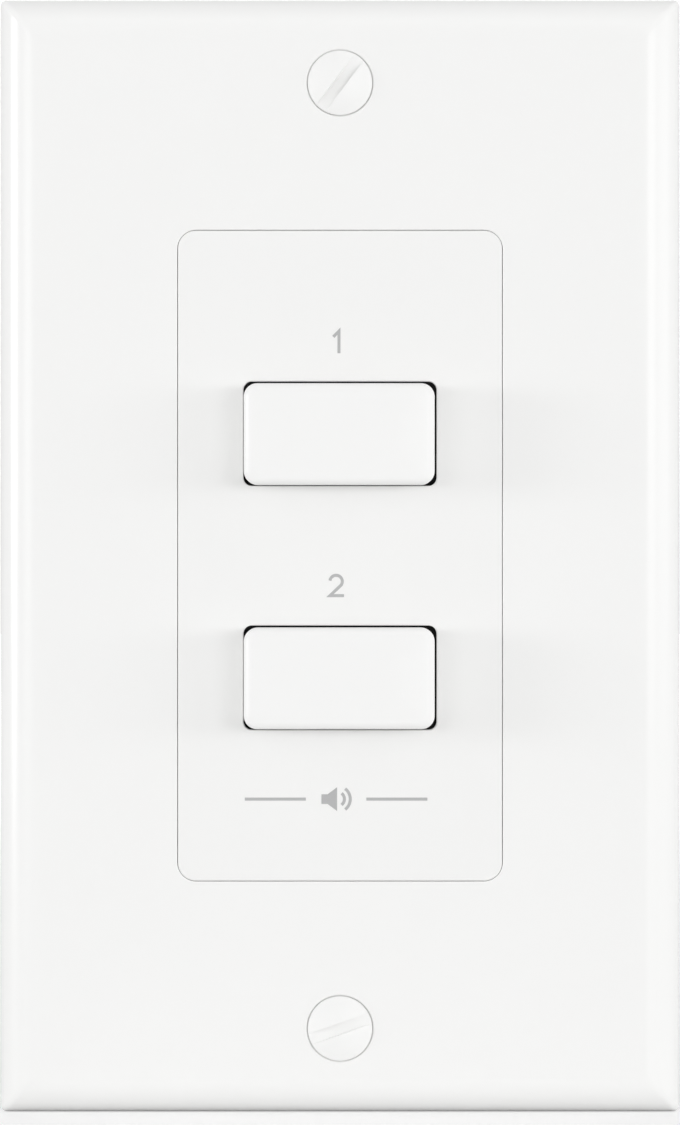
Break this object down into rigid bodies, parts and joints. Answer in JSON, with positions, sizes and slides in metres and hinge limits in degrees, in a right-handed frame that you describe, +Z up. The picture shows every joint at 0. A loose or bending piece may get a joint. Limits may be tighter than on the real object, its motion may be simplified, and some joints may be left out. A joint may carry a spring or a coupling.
{
  "type": "speaker selector switch",
  "caption": "Wall-mounted speaker selector: rounded cover plate and flush insert with latching push buttons, on a steel strap with a rear switch housing and screw terminals.",
  "frame": {"origin": "centre of the wall plate in the plane of its rear rim, which is the surface of the finished wall", "axes": "+X to the right seen from the front, +Y into the wall, +Z up; the buttons face -Y"},
  "size_m": [0.0698, 0.0384, 0.1142],
  "materials": {
    "plate_plastic": "moulded thermoplastic, smooth gloss",
    "insert_plastic": "moulded ABS, fine satin",
    "button_plastic": "moulded ABS, semi-gloss",
    "painted_screw": "steel, white enamel",
    "strap_steel": "stamped steel, zinc plated",
    "screw_steel": "zinc plated",
    "black_screw": "steel, black oxide",
    "fibre": "vulcanised fibre sheet",
    "board_laminate": "glass-epoxy laminate with solder mask",
    "terminal_plastic": "moulded polyamide",
    "nickel": "nickel-plated brass",
    "tinned": "tin-plated copper alloy",
    "case_plastic": "moulded phenolic",
    "cover_steel": "tin-plated sheet steel",
    "slider_plastic": "moulded acetal",
    "spring_steel": "drawn spring wire",
    "contact_bronze": "phosphor bronze strip",
    "blade_silver": "silver-plated brass strip"
  },
  "bodies": {
    "base": {"wall_plate": "plate_plastic", "plate_screws": "painted_screw", "mounting_strap": "strap_steel", "box_screws": "screw_steel", "screw_retainers": "fibre", "bezel": "insert_plastic", "bezel_screws": "screw_steel", "circuit_board": "board_laminate", "board_screws": "black_screw", "input_terminal_body": "terminal_plastic", "input_terminal_cages": "nickel", "input_terminal_screws": "screw_steel", "input_terminal_pins": "tinned", "output_1_terminal_body": "terminal_plastic", "output_1_terminal_cages": "nickel", "output_1_terminal_screws": "screw_steel", "output_1_terminal_pins": "tinned", "output_2_terminal_body": "terminal_plastic", "output_2_terminal_cages": "nickel", "output_2_terminal_screws": "screw_steel", "output_2_terminal_pins": "tinned", "upper_switch_case": "case_plastic", "upper_switch_cover": "cover_steel", "upper_switch_terminals": "blade_silver", "lower_switch_case": "case_plastic", "lower_switch_cover": "cover_steel", "lower_switch_terminals": "blade_silver"},
    "upper_button": {"button_upper": "button_plastic", "upper_plunger": "slider_plastic", "upper_moving_contacts": "contact_bronze", "upper_return_spring": "spring_steel"},
    "upper_latch": {"upper_latch_pin": "spring_steel"},
    "lower_button": {"button_lower": "button_plastic", "lower_plunger": "slider_plastic", "lower_moving_contacts": "contact_bronze", "lower_return_spring": "spring_steel"},
    "lower_latch": {"lower_latch_pin": "spring_steel"}
  },
  "joints": [
    {"name": "upper_press", "type": "slide", "parent": "base", "child": "upper_button", "axis": [0, 1, 0], "range_m": [0, 0.004], "stiffness_N_per_m": 500, "springref_m": -0.002, "deforming": ["upper_return_spring"]},
    {"name": "upper_latch_swing", "type": "hinge", "parent": "base", "child": "upper_latch", "pos_m": [0, 0.01381, 0.0125], "axis": [1, 0, 0], "range_deg": [0, 18.7]},
    {"name": "lower_press", "type": "slide", "parent": "base", "child": "lower_button", "axis": [0, 1, 0], "range_m": [0, 0.004], "stiffness_N_per_m": 500, "springref_m": -0.002, "deforming": ["lower_return_spring"]},
    {"name": "lower_latch_swing", "type": "hinge", "parent": "base", "child": "lower_latch", "pos_m": [0, 0.01381, -0.0125], "axis": [1, 0, 0], "range_deg": [0, 18.7]}
  ],
  "couplings": [
    {"joint": "upper_latch_swing", "follows": "upper_press", "rad_per_m": 81.432},
    {"joint": "lower_latch_swing", "follows": "lower_press", "rad_per_m": 81.432}
  ]
}
